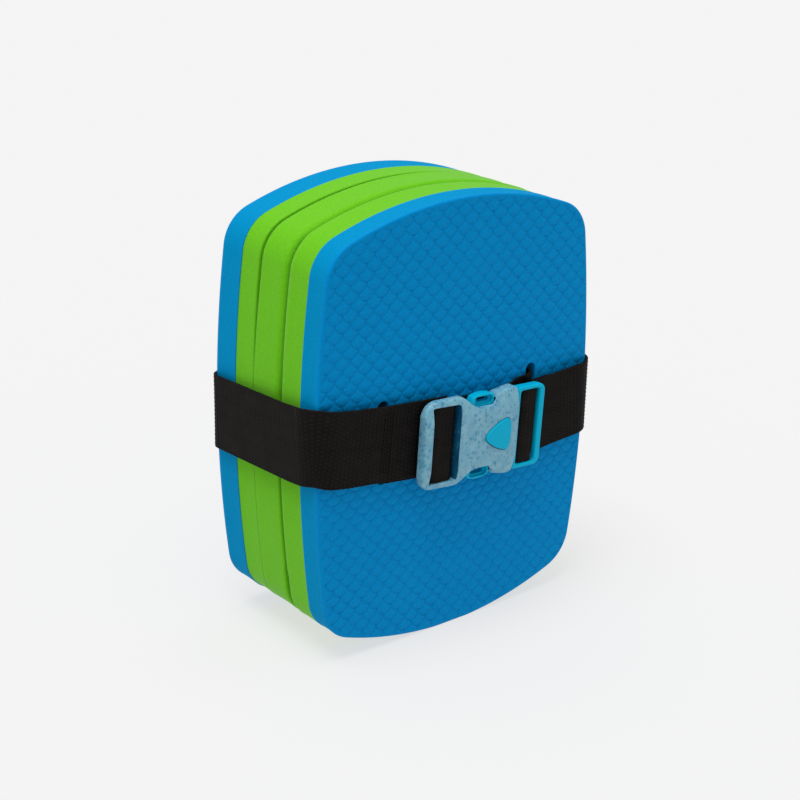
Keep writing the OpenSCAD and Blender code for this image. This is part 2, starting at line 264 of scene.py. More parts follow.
def plate(loops, front, back, front_rim, back_rim, wall=(), details=((), ())):
    """Points (across, up, depth towards the viewer), faces and wall tags of a closed shell.

    wall holds (share, bulge) rows between the two rims, and details the extra points
    of the front and the back face, each with the height that they stand out.
    """
    points, faces, tags = [], [], []
    rims = ([], [])
    for loop in loops:
        above = rim_rows(loop, front, front_rim, -1)[::-1]
        below = rim_rows(loop, back, back_rim, 1)
        upper, lower = above[-1][:, 2], below[0][:, 2]
        between = []
        for share, bulge in wall:
            p = loop - inward(loop) * bulge(loop, share)[:, None]
            between.append(np.column_stack([p, upper + (lower - upper) * share]))
        rows = above + between + below
        count, start = len(loop), sum(map(len, points))
        points += rows
        tags.append(np.repeat([0.0, 1.0, 0.0], [count * len(part) for part in (above, between, below)]))
        for k in range(len(rows) - 1):
            a, b = start + k * count, start + (k + 1) * count
            around = [(i, (i + 1) % count) for i in range(count)]
            faces += [(a + i, b + i, b + j, a + j) for i, j in around]
        rims[0].append((start, rows[0]))
        rims[1].append((start + (len(rows) - 1) * count, rows[-1]))
    for side, (rim, detail) in enumerate(zip(rims, details)):
        extra, height = detail if len(detail) else (np.zeros((0, 2)), np.zeros(0))
        ids = np.concatenate([s + np.arange(len(r)) for s, r in rim])
        base = sum(map(len, points))
        face_depth = at_each(back, extra) - height if side else at_each(front, extra) + height
        points.append(np.column_stack([extra, face_depth]))
        tags.append(np.zeros(len(extra)))
        ids = np.concatenate([ids, base + np.arange(len(extra))]).astype(int)
        for f in fill([r[:, :2] for _, r in rim], extra):
            f = tuple(int(ids[i]) for i in f)
            faces.append(f[::-1] if side else f)
    return np.vstack(points), faces, np.concatenate(tags)


def on_pads(p):
    """From (across, up, depth ahead of the front pad's face) to the frame."""
    return np.column_stack([p[:, 0], FRONT_Y - p[:, 2], MID_Z + p[:, 1]])


def on_buckle(p):
    """From the buckle's own (across, up, depth) to the frame."""
    x = BUCKLE[0] + p[:, 0] * TILT_COS + p[:, 1] * TILT_SIN
    z = BUCKLE[1] - p[:, 0] * TILT_SIN + p[:, 1] * TILT_COS
    return on_pads(np.column_stack([x, z, p[:, 2]]))


def off_buckle(point):
    """From a place in the frame, in metres, to the buckle's own (across, up, depth)."""
    x, z = point[0] / MM - BUCKLE[0], point[2] / MM - MID_Z - BUCKLE[1]
    return x * TILT_COS - z * TILT_SIN, x * TILT_SIN + z * TILT_COS, FRONT_Y - point[1] / MM


def new_object(name, data):
    """An object in the scene, from its mesh, light or camera."""
    ob = bpy.data.objects.new(name, data)
    bpy.context.scene.collection.objects.link(ob)
    return ob


def shade(mesh, sharp=SHARP_ANGLE):
    """Smooth shading but for the edges sharper than an angle."""
    mesh.shade_smooth()
    if sharp:
        mesh.set_sharp_from_angle(angle=math.radians(sharp))


def new_mesh(name, points, faces, sharp=None):
    """A mesh object from millimetre points."""
    mesh = bpy.data.meshes.new(name)
    mesh.from_pydata((np.asarray(points) * MM).tolist(), [], faces)
    mesh.update()
    shade(mesh, sharp)
    return new_object(name, mesh)


def set_attribute(ob, name, values):
    """Gives each point of a mesh a number that its material can read."""
    made = ob.data.attributes.new(name, "FLOAT", "POINT")
    made.data.foreach_set("value", np.asarray(values, np.float32))


def finish_piece(ob, material, slot_name, body, node):
    """Gives a piece its finish, the body that it rides on and the CAD node that it replaces."""
    ob.data.materials.append(material)
    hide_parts(node)
    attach(ob, body)


# ------ materials


def srgb(r, g, b):
    """Linear colour from 0-255 display values."""

    def linear(v):
        return ((v / 255 + 0.055) / 1.055) ** 2.4 if v > 10 else v / 255 / 12.92

    return linear(r), linear(g), linear(b), 1.0


def grey(v):
    """A linear grey."""
    return (v, v, v, 1)


def add(tree, kind, inputs=None, **settings):
    """A node with its settings, and its inputs set or linked."""
    made = tree.nodes.new(kind)
    for key, value in settings.items():
        setattr(made, key, value)
    for key, value in (inputs or {}).items():
        if isinstance(value, bpy.types.NodeSocket):
            tree.links.new(value, made.inputs[key])
        else:
            made.inputs[key].default_value = value
    return made


def start_material(name, **uniform):
    """A material, its tree, its shader and its object coordinates in millimetres."""
    material = bpy.data.materials.new(name)
    material.use_nodes = True
    tree = material.node_tree
    shader = tree.nodes["Principled BSDF"]
    for key, value in uniform.items():
        shader.inputs[key.replace("_", " ")].default_value = value
    place = add(tree, "ShaderNodeTexCoord").outputs["Object"]
    scaled = add(tree, "ShaderNodeVectorMath", {0: place, "Scale": 1 / MM}, operation="SCALE")
    return material, tree, shader, scaled.outputs[0]


def ramp(tree, value, low, high, start=0.0, end=1.0):
    """A colour that goes from low to high as value goes from start to end."""
    made = add(tree, "ShaderNodeValToRGB", {"Fac": value})
    first, last = made.color_ramp.elements
    first.position, last.position = start, end
    first.color, last.color = low, high
    return made.outputs["Color"]


def mix(tree, factor, a, b):
    """Colour b over colour a."""
    return add(tree, "ShaderNodeMix", {0: factor, 6: a, 7: b}, data_type="RGBA").outputs[2]


def span(tree, value, low, high):
    """A number from low to high as value goes from 0 to 1."""
    return add(tree, "ShaderNodeMapRange", {"Value": value, "To Min": low, "To Max": high}).outputs[0]


def maths(tree, operation, a, b):
    """One step of arithmetic on sockets or numbers."""
    return add(tree, "ShaderNodeMath", {0: a, 1: b}, operation=operation).outputs[0]


def clouds_at(tree, at, scale, detail, **more):
    """Noise in millimetres, 0 to 1."""
    inputs = {"Vector": at, "Scale": scale, "Detail": detail, **more}
    return add(tree, "ShaderNodeTexNoise", inputs).outputs[0]


def attribute(tree, name):
    """A number that the mesh carries at its points."""
    return add(tree, "ShaderNodeAttribute", attribute_name=name).outputs["Fac"]


def paint(tree, shader, tone, rough):
    """The shader's colour and roughness."""
    tree.links.new(tone, shader.inputs["Base Color"])
    tree.links.new(rough, shader.inputs["Roughness"])


def roughen(tree, shader, height, strength, depth, **more):
    """Bump of a depth in millimetres, on the shader."""
    inputs = {"Height": height, "Strength": strength, "Distance": depth * MM, **more}
    tree.links.new(add(tree, "ShaderNodeBump", inputs).outputs[0], shader.inputs["Normal"])


# The value of the attribute "cut" on a foam wall; it is also how much rougher a wall is.
WALL_CUT = 0.25
# How much painted shade darkens the embossed grooves.
GROOVE_SHADE = 0.25
FOAM_ROUGHEST = 0.85


def foam(name, deep, base, light, cut_tone, sheen):
    """Closed-cell foam: satin moulded skin, and open pores where it is cut; its pores and embossed
    grooves are darkened as painted shade.
    """
    material, tree, shader, at = start_material(
        name, Specular_IOR_Level=0.03, Sheen_Weight=sheen, Sheen_Roughness=0.35
    )
    patches = clouds_at(tree, at, 0.05, 3.0)
    grain = clouds_at(tree, at, 1.3, 4.0)
    pores = add(tree, "ShaderNodeTexVoronoi", {"Vector": at, "Scale": 1.7}).outputs["Distance"]
    is_cut = attribute(tree, "cut")
    groove = attribute(tree, "groove")
    tone = mix(tree, span(tree, patches, 0.0, 1.0), base, light)
    tone = mix(tree, maths(tree, "MULTIPLY", is_cut, 1 / WALL_CUT), tone, cut_tone)
    tone = mix(tree, ramp(tree, grain, grey(0), grey(0.3), 0.35, 0.7), tone, deep)
    # Painted shade: the open pores of cut walls are darkened towards the deep tone.
    pore_shade = ramp(tree, pores, grey(0.22), grey(0), 0.05, 0.3)
    tone = mix(tree, maths(tree, "MULTIPLY", pore_shade, is_cut), tone, deep)
    # Painted shade: the embossed grooves are darkened towards the deep tone.
    tone = mix(tree, maths(tree, "MULTIPLY", groove, GROOVE_SHADE), tone, deep)
    rough = maths(tree, "ADD", span(tree, grain, 0.42, 0.66), is_cut)
    paint(tree, shader, tone, maths(tree, "MINIMUM", rough, FOAM_ROUGHEST))
    soft = add(tree, "ShaderNodeBump", {"Height": grain, "Strength": 0.35, "Distance": 0.12 * MM})
    roughen(tree, shader, pores, 0.2, 0.1, Normal=soft.outputs[0])
    return material


def woven(name, dark, light):
    """Black webbing: its yarns are in the mesh, its fibres are here, and its colour paints shade
    between the yarns and highlight on their crests.
    """
    material, tree, shader, at = start_material(name, Specular_IOR_Level=0.1)
    yarn_shade = attribute(tree, "weave")
    fibres = clouds_at(tree, at, 5.0, 5.0, Roughness=0.7)
    wear = clouds_at(tree, at, 0.12, 3.0)
    # Painted shade and highlight: the valleys between yarns are darker and the crests lighter.
    tone = mix(tree, span(tree, yarn_shade, 0.0, 0.8), dark, light)
    tone = mix(tree, ramp(tree, fibres, grey(0), grey(0.6), 0.35, 0.75), tone, dark)
    tone = mix(tree, ramp(tree, wear, grey(0), grey(0.35), 0.5, 0.8), tone, light)
    paint(tree, shader, tone, span(tree, fibres, 0.5, 0.85))
    roughen(tree, shader, fibres, 0.5, 0.12)
    return material


def frosted(name, pale, cloud, teal, blue):
    """Cloudy pale plastic with small teal and blue flecks in it."""
    material, tree, shader, at = start_material(
        name, Subsurface_Weight=0.3, Subsurface_Scale=1.2 * MM, Specular_IOR_Level=0.4
    )
    clouds = clouds_at(tree, at, 0.22, 4.0)
    tone = mix(tree, ramp(tree, clouds, grey(0), grey(1), 0.35, 0.7), pale, cloud)
    # Flecks: how many to a millimetre, their greatest size, and their colour.
    flecks = ((0.36, 0.42, teal), (0.62, 0.5, blue), (0.5, 0.45, teal), (0.8, 0.5, teal))
    for scale, size, colour in flecks:
        stretch = (scale, scale, 0.8 * scale)
        place = add(tree, "ShaderNodeVectorMath", {0: at, 1: stretch}, operation="MULTIPLY").outputs[0]
        cells = add(tree, "ShaderNodeTexVoronoi", {"Vector": place, "Scale": 1.0})
        chance = add(tree, "ShaderNodeSeparateColor", {0: cells.outputs["Color"]}).outputs[0]
        reach = maths(tree, "MULTIPLY", maths(tree, "POWER", chance, 2.6), size)
        depth = maths(tree, "SUBTRACT", reach, cells.outputs["Distance"])
        limits = {"Value": depth, "From Min": -0.08, "From Max": 0.16, "To Max": 0.6}
        tone = mix(tree, add(tree, "ShaderNodeMapRange", limits).outputs[0], tone, colour)
    fine = clouds_at(tree, at, 2.2, 3.0)
    paint(tree, shader, tone, span(tree, fine, 0.32, 0.52))
    roughen(tree, shader, fine, 0.15, 0.08)
    return material


def moulded(name, base, light):
    """Plain coloured plastic with a fine spark-eroded finish."""
    material, tree, shader, at = start_material(name, Specular_IOR_Level=0.08)
    clouds = clouds_at(tree, at, 0.15, 3.0)
    fine = clouds_at(tree, at, 4.0, 3.0)
    tone = mix(tree, span(tree, clouds, 0.0, 1.0), base, light)
    paint(tree, shader, tone, span(tree, fine, 0.3, 0.48))
    roughen(tree, shader, fine, 0.15, 0.05)
    return material


def floor_paper(name):
    """Pale paper that shows only soft shadows, since most of its light is its own."""
    material, tree, shader, at = start_material(
        name, Specular_IOR_Level=0.0, Emission_Strength=FLOOR_GLOW
    )
    tooth = clouds_at(tree, at, 0.02, 2.0)
    tree.links.new(span(tree, tooth, 0.85, 0.95), shader.inputs["Roughness"])
    shader.inputs["Base Color"].default_value = grey(FLOOR_SHADE)
    shader.inputs["Emission Color"].default_value = grey(1)
    return material


BLUE = foam(
    "blue foam", deep=srgb(0, 90, 158), base=srgb(0, 136, 200), light=srgb(0, 142, 206),
    cut_tone=srgb(0, 141, 193), sheen=0.0,
)
GREEN = foam(
    "green foam", deep=srgb(60, 145, 8), base=srgb(102, 187, 26), light=srgb(112, 194, 34),
    cut_tone=srgb(107, 190, 30), sheen=0.22,
)
BLACK = woven("black webbing", dark=srgb(1, 1, 1), light=srgb(38, 32, 29))
THREAD = woven("black thread", dark=srgb(22, 19, 17), light=srgb(44, 38, 35))
FROST = frosted(
    "frosted plastic", pale=srgb(126, 178, 196), cloud=srgb(98, 158, 184),
    teal=srgb(0, 128, 162), blue=srgb(0, 112, 160),
)
# A darker copy of the frosted plastic: painted shade for walls deep in the socket.
FROST_PAINTED_SHADE = frosted(
    "shaded plastic", pale=srgb(10, 92, 128), cloud=srgb(6, 70, 104),
    teal=srgb(0, 45, 75), blue=srgb(60, 130, 165),
)
TEAL = moulded("teal plastic", base=srgb(0, 168, 205), light=srgb(0, 176, 212))


# ------ pads

SCALE_PITCH, SCALE_ROW = 8.8, 4.4
GROOVE_DEPTH, GROOVE_HALF = 0.42, 0.33
PILLOW = 0.06
SCALE_ROUNDNESS = 1.9
EMBOSS_MARGIN = 1.9
# Points of one scale: rows beside its edge, by distance, and places on its face.
GROOVE_ROWS = (-0.72, -0.24, 0.24, 0.72)
SCALE_FACE = ((0, -1.9), (-1.9, -0.4), (1.9, -0.4), (0, 0.9), (0, 2.6))
LEAST_GAP = 0.28

# A split gapes at full width this far in from the edge, and has closed this far in.
GAPE_REACH, GAPE_END = 12, 20


def scale_curve(count):
    """Lower edge of one scale about its middle: a rounded V from cusp to cusp."""
    turn = np.linspace(0, math.pi, count)
    power = 2 / SCALE_ROUNDNESS
    across = np.sign(np.cos(turn)) * np.abs(np.cos(turn)) ** power
    down = np.sin(turn) ** power
    return np.column_stack([-across * SCALE_PITCH / 2, -down * SCALE_ROW])


def scale_centres():
    """Middles of all scales of a face, every other row shifted by half a scale."""
    rows = math.ceil(HALF_H / SCALE_ROW) + 1
    columns = math.ceil(HALF_W / SCALE_PITCH) + 1
    return np.array([
        ((i + 0.5 * (k % 2)) * SCALE_PITCH, k * SCALE_ROW)
        for k in range(-rows, rows + 1)
        for i in range(-columns, columns + 1)
    ])


def groove_distance(p):
    """Distance from each point to the nearest scale edge."""
    column = np.round(p[:, 0] / SCALE_PITCH)
    row = 2 * np.round(p[:, 1] / (2 * SCALE_ROW))
    local = p - np.column_stack([column * SCALE_PITCH, row * SCALE_ROW])
    edge = scale_curve(41)
    best = np.full(len(p), 1e9)
    for k in range(-1, 4):
        for i in range(-1, 2):
            centre = np.array([(i + 0.5 * (k % 2)) * SCALE_PITCH, k * SCALE_ROW])
            for a in edge + centre:
                best = np.minimum(best, np.hypot(local[:, 0] - a[0], local[:, 1] - a[1]))
    return best


def patchy(p, scale, depth):
    """Smooth seeded noise, -1 to 1, at points of the front plane."""
    return np.array([noise.noise(Vector((x * scale, z * scale, depth))) for x, z in p])


def emboss(loop, slots):
    """Extra points of an embossed face, their heights, and how deep in a groove each is."""
    curve = scale_curve(17)
    rows = [curve + to_left(np.gradient(curve, axis=0)) * offset for offset in GROOVE_ROWS]
    cell = np.vstack([*rows, SCALE_FACE])
    p = (scale_centres()[:, None] + cell[None]).reshape(-1, 2)
    p = p[inside(p, loop + inward(loop) * EMBOSS_MARGIN)]
    for slot in slots:
        p = p[~inside(p, slot + inward(slot) * EMBOSS_MARGIN)]
    keys = np.round(p / LEAST_GAP).astype(int)
    p = p[np.sort(np.unique(keys, axis=0, return_index=True)[1])]
    away = groove_distance(p)
    depth = GROOVE_DEPTH * (1 + 0.35 * patchy(p, 0.045, 3.1))
    groove = np.exp(-((away / GROOVE_HALF) ** 2))
    height = PILLOW * (1 - np.exp(-((away / 1.3) ** 2))) - depth * groove
    return p, height, groove


def open_split(loop):
    """Gap of the split that stands open over the top and down the upper left side."""
    x, z = loop[:, 0], loop[:, 1]
    over_top = (z > 60) * np.clip((60 - x) / 60, 0, 1)
    down_left = (x < -60) * np.clip((z - 28) / 40, 0, 1)
    return 0.95 * np.clip(np.maximum(over_top, down_left), 0, 1)


def pinched_split(loop):
    """Gap of the split that closes over the top and is widest at the lower left corner."""
    x, z = loop[:, 0], loop[:, 1]
    low = smooth(1 - np.abs(x + 62) / 45) * (z < -70)
    beside = smooth((np.abs(x) - 66) / 10) * (0.65 + 0.2 * smooth(-z / 60))
    return 0.02 + beside + 0.9 * low


def split_rim(gap, radius):
    """Edge of a pad at a split: a round edge, then a face that stands off as far as it gapes."""

    def rim(loop):
        g = gap(loop)
        r = at_each(radius, loop)
        return round_over(r, 4, g) + [(r + GAPE_REACH, g), (r + GAPE_END, 0 * g)]

    return rim


def joined_rim(loop):
    """Edge of a pad that is laminated to its neighbour: flush, closing the air between them."""
    none = np.zeros(len(loop))
    return [(none, none - 0.1)]


def build_pad(index, node, name, look, rims, shift, embossed):
    """One pad; shift slides its outline a little, as loosely threaded pads sit.

    look is its material and a slot name that is not used, rims are the edges of its front and back
    face, and
    embossed is the face with scales: 0 is the front, 1 the back, and None neither.
    """
    low, high = box_mm(node)
    front, back = FRONT_Y - low[1], FRONT_Y - high[1]
    outline = pad_outline()
    outline[:, 0] += shift[0]
    outline[:, 1] = np.maximum(outline[:, 1] + shift[1], -MID_Z)
    slots = [slot_outline(side) for side in (-1, 1)]

    def rim_of(side):
        own = rims[side]
        at_slot = joined_rim if own is joined_rim else rounded_rim(0.6, 3)
        return lambda loop: own(loop) if len(loop) == len(outline) else at_slot(loop)

    def bulge(loop, share):
        """Slight waves of a die-cut wall, which bows in a little half way through."""
        if len(loop) != len(outline):
            return np.zeros(len(loop))
        return 0.16 * patchy(loop, 0.05, index * 3.7 + share) - 0.22 * math.sin(math.pi * share)

    wall = [(share, bulge) for share in (0.12, 0.35, 0.65, 0.88)]
    details = [(), ()]
    grooves = np.zeros(0)
    if embossed is not None:
        p, height, grooves = emboss(outline, slots)
        details[embossed] = (p, height)
    points, faces, tags = plate([outline, *slots], front, back, rim_of(0), rim_of(1), wall, details)
    ob = new_mesh(name, on_pads(points), faces, sharp=50)
    set_attribute(ob, "cut", tags * WALL_CUT)
    # The embossed points are the last that plate adds.
    painted_groove_shade = np.zeros(len(points))
    painted_groove_shade[len(points) - len(grooves):] = grooves
    # How far into a groove each point is; the foam darkens the grooves by it, as painted shade.
    set_attribute(ob, "groove", painted_groove_shade)
    finish_piece(ob, *look, "float", node)


def build_pads():
    """The stack of five, front to back; only the two splits between green pads gape."""
    soft = split_rim(pinched_split, lambda loop: 1.2 + 1.8 * (loop[:, 1] > 0))
    crisp = split_rim(open_split, lambda loop: 0.08 + 0.72 * smooth((loop[:, 1] + 15) / 45))
    outer = rounded_rim(1.1, 5, 0.3)
    blue, green = (BLUE, "foam_blue"), (GREEN, "foam_green")
    plans = [
        ("front_pad", "front_foam", blue, (outer, joined_rim), (0.0, 0.0), 0),
        ("green_front_pad", "front_green_foam", green, (joined_rim, soft), (0.1, -0.1), None),
        ("green_middle_pad", "middle_green_foam", green, (soft, crisp), (0.15, 0.3), None),
        ("green_rear_pad", "rear_green_foam", green, (crisp, joined_rim), (0.1, 0.2), None),
        ("rear_pad", "rear_foam", blue, (joined_rim, outer), (-0.4, 0.1), 1),
    ]
    for index, plan in enumerate(plans):
        build_pad(index, *plan)


# ------ webbing

# Columns of yarn across the webbing, the length of one pick, and the roundness of a selvedge.
COLUMNS = 36
COLUMN = WEB_W / COLUMNS
PICK = 2.3
YARN_RELIEF = 0.3
EDGE = 0.55
SELVEDGE_WAVE = 0.005
ROUTE_STEP = 0.2
UP = np.array([0, 0, 1.0])


def yarns(along, across):
    """Height of the woven face, 0 to 1: columns of yarn that surface by turns."""
    place = across / COLUMN + COLUMNS / 2
    round_yarn = np.abs(np.sin(math.pi * place)) ** 0.6
    surfaces = 0.5 + 0.5 * np.cos(math.pi * (along / PICK + np.floor(place)))
    crossing = np.abs(np.cos(math.pi * along / PICK)) ** 0.7
    return round_yarn * (0.5 + 0.5 * surfaces) * (0.2 + 0.8 * crossing)


def make_route(points, width_axis, side):
    """Even places along a line in space, each with its width and outward directions."""
    along = distance_along(points)
    s = np.arange(0, along[-1], ROUTE_STEP)
    p = np.column_stack([np.interp(s, along, points[:, k]) for k in range(3)])
    t = np.gradient(p, axis=0)
    t /= np.linalg.norm(t, axis=1, keepdims=True)
    w = width_axis - t * (t @ width_axis)[:, None]
    w /= np.linalg.norm(w, axis=1, keepdims=True)
    return {"s": s, "p": p, "w": w, "n": side * np.cross(w, t)}


def route_at(route, s, key):
    """Points, width directions or outward directions at places along a route."""
    return np.column_stack([np.interp(s, route["s"], route[key][:, k]) for k in range(3)])


def nearest(route, x, y):
    """Place along a route that is nearest to a plan point."""
    return route["s"][np.argmin(np.hypot(route["p"][:, 0] - x, route["p"][:, 1] - y))]


def section(fine):
    """Cross-section of the webbing: (across, out of the face, share of yarn relief)."""
    count = COLUMNS * 4 + 1 if fine else 13
    inner = WEB_W / 2 - EDGE
    flat = np.linspace(-inner, inner, count)
    turn = np.radians([30, 60, 90, 120, 150])
    edge = np.column_stack([inner + EDGE * np.sin(turn), WEB_T / 2 * np.cos(turn), 0 * turn])
    face = np.column_stack([flat, np.full(count, WEB_T / 2), np.ones(count)])
    under = np.column_stack([flat[::-1], np.full(count, -WEB_T / 2), -np.ones(count)])
    return np.vstack([face, edge, under, edge[::-1] * [-1, 1, 1]])


def tube_faces(size, count):
    """Faces of a closed tube of count rings of size points, with its two ends."""
    faces = []
    for k in range(count - 1):
        a, b = k * size, (k + 1) * size
        around = [(i, (i + 1) % size) for i in range(size)]
        faces += [(a + i, a + j, b + j, b + i) for i, j in around]
    last = (count - 1) * size
    return faces + [tuple(range(size))[::-1], tuple(last + i for i in range(size))]


def ribbon(name, route, start, end, node, body="float", fine=True):
    """A stretch of webbing with round selvedges and yarns standing out of both faces."""
    shape = section(fine)
    count = max(2, round((end - start) / (PICK / 4 if fine else PICK)))
    s = np.linspace(start, end, count + 1)
    p, w, n = (route_at(route, s, key) for key in "pwn")
    across, out, relief = shape.T
    weave = yarns(s[:, None] + (relief[None] < 0) * PICK, across[None])
    lift = out[None] - np.sign(relief)[None] * YARN_RELIEF * (1 - weave) * (1 if fine else 0.3)
    nibble = 1 + SELVEDGE_WAVE * np.cos(2 * math.pi * s / PICK)
    spread = across[None] * np.where(relief[None] == 0, nibble[:, None], 1)
    grid = p[:, None] + w[:, None] * spread[..., None] + n[:, None] * lift[..., None]
    faces = tube_faces(len(shape), count + 1)
    ob = new_mesh(name, grid.reshape(-1, 3), faces)
    outward(ob)
    # Each point's yarn height, which the webbing paints as shade in the valleys and highlight on the
    # crests; the selvedges sit half way.
    set_attribute(ob, "weave", np.where(relief[None] == 0, 0.5, weave).ravel())
    finish_piece(ob, BLACK, "webbing", body, node)


def outward(ob):
    """Turns every face of a closed mesh outwards."""
    bm = bmesh.new()
    bm.from_mesh(ob.data)
    bmesh.ops.recalc_face_normals(bm, faces=bm.faces)
    bm.to_mesh(ob.data)
    bm.free()


# Depths and distances from the middle that the webbing's own middle line runs at.
STRAP_Y = FRONT_Y - 4.4
TAIL_Y = FRONT_Y - 2.7
HEM_Y = FRONT_Y - 1.0
BRIDGE_Y = FRONT_Y - 1.0
BACK_RUN_Y = BACK_Y + 1.0
REAR_EDGE_Y = BACK_Y + 2.6
SIDE_X_REAR = HALF_W + 2.6
SIDE_X_FRONT = HALF_W + 3.9
LEFT_END_X, RIGHT_END_X = -12.5, 30.5
TAIL_RUN, HEM_L, TAIL_SAG = 26.0, 9.0, 1.2
REAR_BEND_R, FRONT_BEND_R, SLOT_BEND_R, HEM_BEND_R, LOOP_BEND_R = 7.5, 12.8, 2.9, 0.84, 2.8
LOOP_TOP = 10.5

HEIGHT_SOFTNESS = 4.5

# Heights of the belt's middle about mid height, at plan points along its way.
BELT_HEIGHTS = [
    ((LEFT_END_X, STRAP_Y), -2.9),
    ((-25, STRAP_Y), -2.0),
    ((-46.5, STRAP_Y), -0.4),
    ((-70, STRAP_Y), 2.1),
    ((-SIDE_X_FRONT + 2, STRAP_Y + 3), 5.3),
    ((-SIDE_X_FRONT, STRAP_Y + 22), 3.0),
    ((-SIDE_X_REAR, BACK_Y - 4), -1.2),
    ((-SLOT_X - 8, BACK_RUN_Y), -BELT_DROP),
    ((-SLOT_X + 4, BRIDGE_Y), -BELT_DROP),
    ((-30, BRIDGE_Y), -4.5),
    ((33, BRIDGE_Y), -9.0),
    ((SLOT_X - 3, BRIDGE_Y), -BELT_DROP),
    ((SLOT_X, BRIDGE_Y + 4), -BELT_DROP),
    ((SIDE_X_REAR, BACK_Y - 4), -BELT_DROP),
    ((SIDE_X_FRONT, STRAP_Y + 12), -4.3),
    ((84, STRAP_Y), -4.4),
    ((50, STRAP_Y), -6.8),
    ((RIGHT_END_X, STRAP_Y), -8.3),
]


def both_sides(slot_front, slot_rear, side_rear, side_front):
    """Plan points from the left side's front round to the right side's, from their depths."""
    half = [
        (SLOT_X, slot_front), (SLOT_X, slot_rear), (SIDE_X_REAR, side_rear), (SIDE_X_FRONT, side_front),
    ]
    return [*[(-x, y) for x, y in half[::-1]], *half]


def belt_line():
    """The whole belt's middle line: round the left side, through both slots, round the right."""
    bends = both_sides(BRIDGE_Y, BACK_RUN_Y, REAR_EDGE_Y, STRAP_Y)
    radii = [SLOT_BEND_R, SLOT_BEND_R, REAR_BEND_R, FRONT_BEND_R]
    plan = [(LEFT_END_X, STRAP_Y), *bends, (RIGHT_END_X, STRAP_Y)]
    plan = filleted(plan, [0, *radii[::-1], *radii, 0], closed=False)
    flat = make_route(np.column_stack([plan, np.zeros(len(plan))]), UP, 1)
    stations = [nearest(flat, *place) for place, _ in BELT_HEIGHTS]
    height = np.interp(flat["s"], stations, [h for _, h in BELT_HEIGHTS])
    reach = 75
    kernel = np.exp(-((np.arange(-reach, reach + 1) * ROUTE_STEP / HEIGHT_SOFTNESS) ** 2))
    height = np.convolve(np.pad(height, reach, mode="edge"), kernel / kernel.sum(), mode="valid")
    line = flat["p"] + (MID_Z + height)[:, None] * UP
    return make_route(line, UP, 1)


def build_belt():
    """The belt's plain runs and turns, cut where the CAD nodes meet."""
    belt = belt_line()
    stops = both_sides(
        BRIDGE_Y + SLOT_BEND_R, BACK_RUN_Y - SLOT_BEND_R,
        REAR_EDGE_Y - REAR_BEND_R - 1, STRAP_Y + FRONT_BEND_R + 1,
    )
    stretches = [
        "front_left", "side_left", "back_left", "slot_left", "bridge",
        "slot_right", "back_right", "side_right", "front_right",
    ]
    start = nearest(belt, LEFT_END_X, STRAP_Y)
    for stretch, stop in zip(stretches, [*stops, (RIGHT_END_X, STRAP_Y)]):
        end = nearest(belt, *stop)
        ribbon(f"webbing_{stretch}", belt, start, end, f"belt_{stretch}", fine="slot" not in stretch)
        start = end
    return belt


def build_tails(belt):
    """The loose ends folded back behind the front runs; the right one ends in a sewn fold."""
    for name, side, end_x in (("left", -1, LEFT_END_X), ("right", 1, RIGHT_END_X)):
        far_x = end_x + side * TAIL_RUN
        plan, radii = [(end_x, TAIL_Y), (far_x, TAIL_Y)], [0, 0]
        if side > 0:
            turn_x = far_x + 0.8
            plan = [(end_x, TAIL_Y), (turn_x, TAIL_Y), (turn_x, HEM_Y), (far_x - HEM_L, HEM_Y)]
            radii = [0, HEM_BEND_R, HEM_BEND_R, 0]
        plan = filleted(plan, radii, closed=False, step=12)
        strap = [nearest(belt, x, STRAP_Y) for x, _ in plan]
        height = route_at(belt, np.array(strap), "p")[:, 2] - TAIL_SAG
        route = make_route(np.column_stack([plan, height]), UP, -side)
        fold = nearest(route, far_x, TAIL_Y)
        ribbon(f"webbing_tail_{name}", route, 0, fold, f"belt_tail_{name}")
        if side > 0:
            ribbon("webbing_hem_right", route, fold, route["s"][-1], "belt_hem_right")


def build_loop(name, body, left, width, foot):
    """Webbing turned over a bar of the buckle; left and width are outside the webbing."""
    top = LOOP_TOP - WEB_T / 2
    start, end = left + WEB_T / 2, left + width - WEB_T / 2
    corners = [(start, foot), (start, top), (end, top), (end, foot)]
    line = filleted(corners, [0, LOOP_BEND_R, LOOP_BEND_R, 0], closed=False)
    points = on_buckle(np.column_stack([line[:, 0], np.zeros(len(line)), line[:, 1]]))
    route = make_route(points, BUCKLE_UP, -1)
    ribbon(f"webbing_{name}", route, 0, route["s"][-1], f"belt_{name}", body)


def build_bartack(belt):
    """Rows of zigzag stitching that sew the loop's end to the left front run."""
    rows, pitch, first_x, half, stitches = 4, 1.6, -49.8, 15.0, 34
    zig, hop, sunk, thread_r, sides = 0.42, 0.16, 0.02, 0.2, 6
    turns = (2 * math.pi * np.arange(sides) / sides)[:, None]
    across = np.linspace(-half, half, stitches * 4 + 1)
    phase = np.linspace(0, stitches * math.pi, len(across))
    height = WEB_T / 2 - sunk + hop * np.abs(np.cos(phase))
    points, faces = [], []
    for row in range(rows):
        middle = nearest(belt, first_x + row * pitch, STRAP_Y)
        s = middle + zig * (np.arcsin(np.sin(phase)) * 2 / math.pi)
        p, w, n = (route_at(belt, s, key) for key in "pwn")
        line = p + w * across[:, None] + n * height[:, None]
        ring = n[:, None] * np.cos(turns) + np.cross(w, n)[:, None] * np.sin(turns)
        start = sum(map(len, points))
        points.append((line[:, None] + ring * thread_r).reshape(-1, 3))
        faces += [tuple(i + start for i in f) for f in tube_faces(sides, len(line))]
    ob = new_mesh("bartack_thread", np.vstack(points), faces)
    outward(ob)
    set_attribute(ob, "weave", np.full(len(ob.data.vertices), 0.8))
    finish_piece(ob, THREAD, "thread", "float", "bartack_left")


# ------ buckle

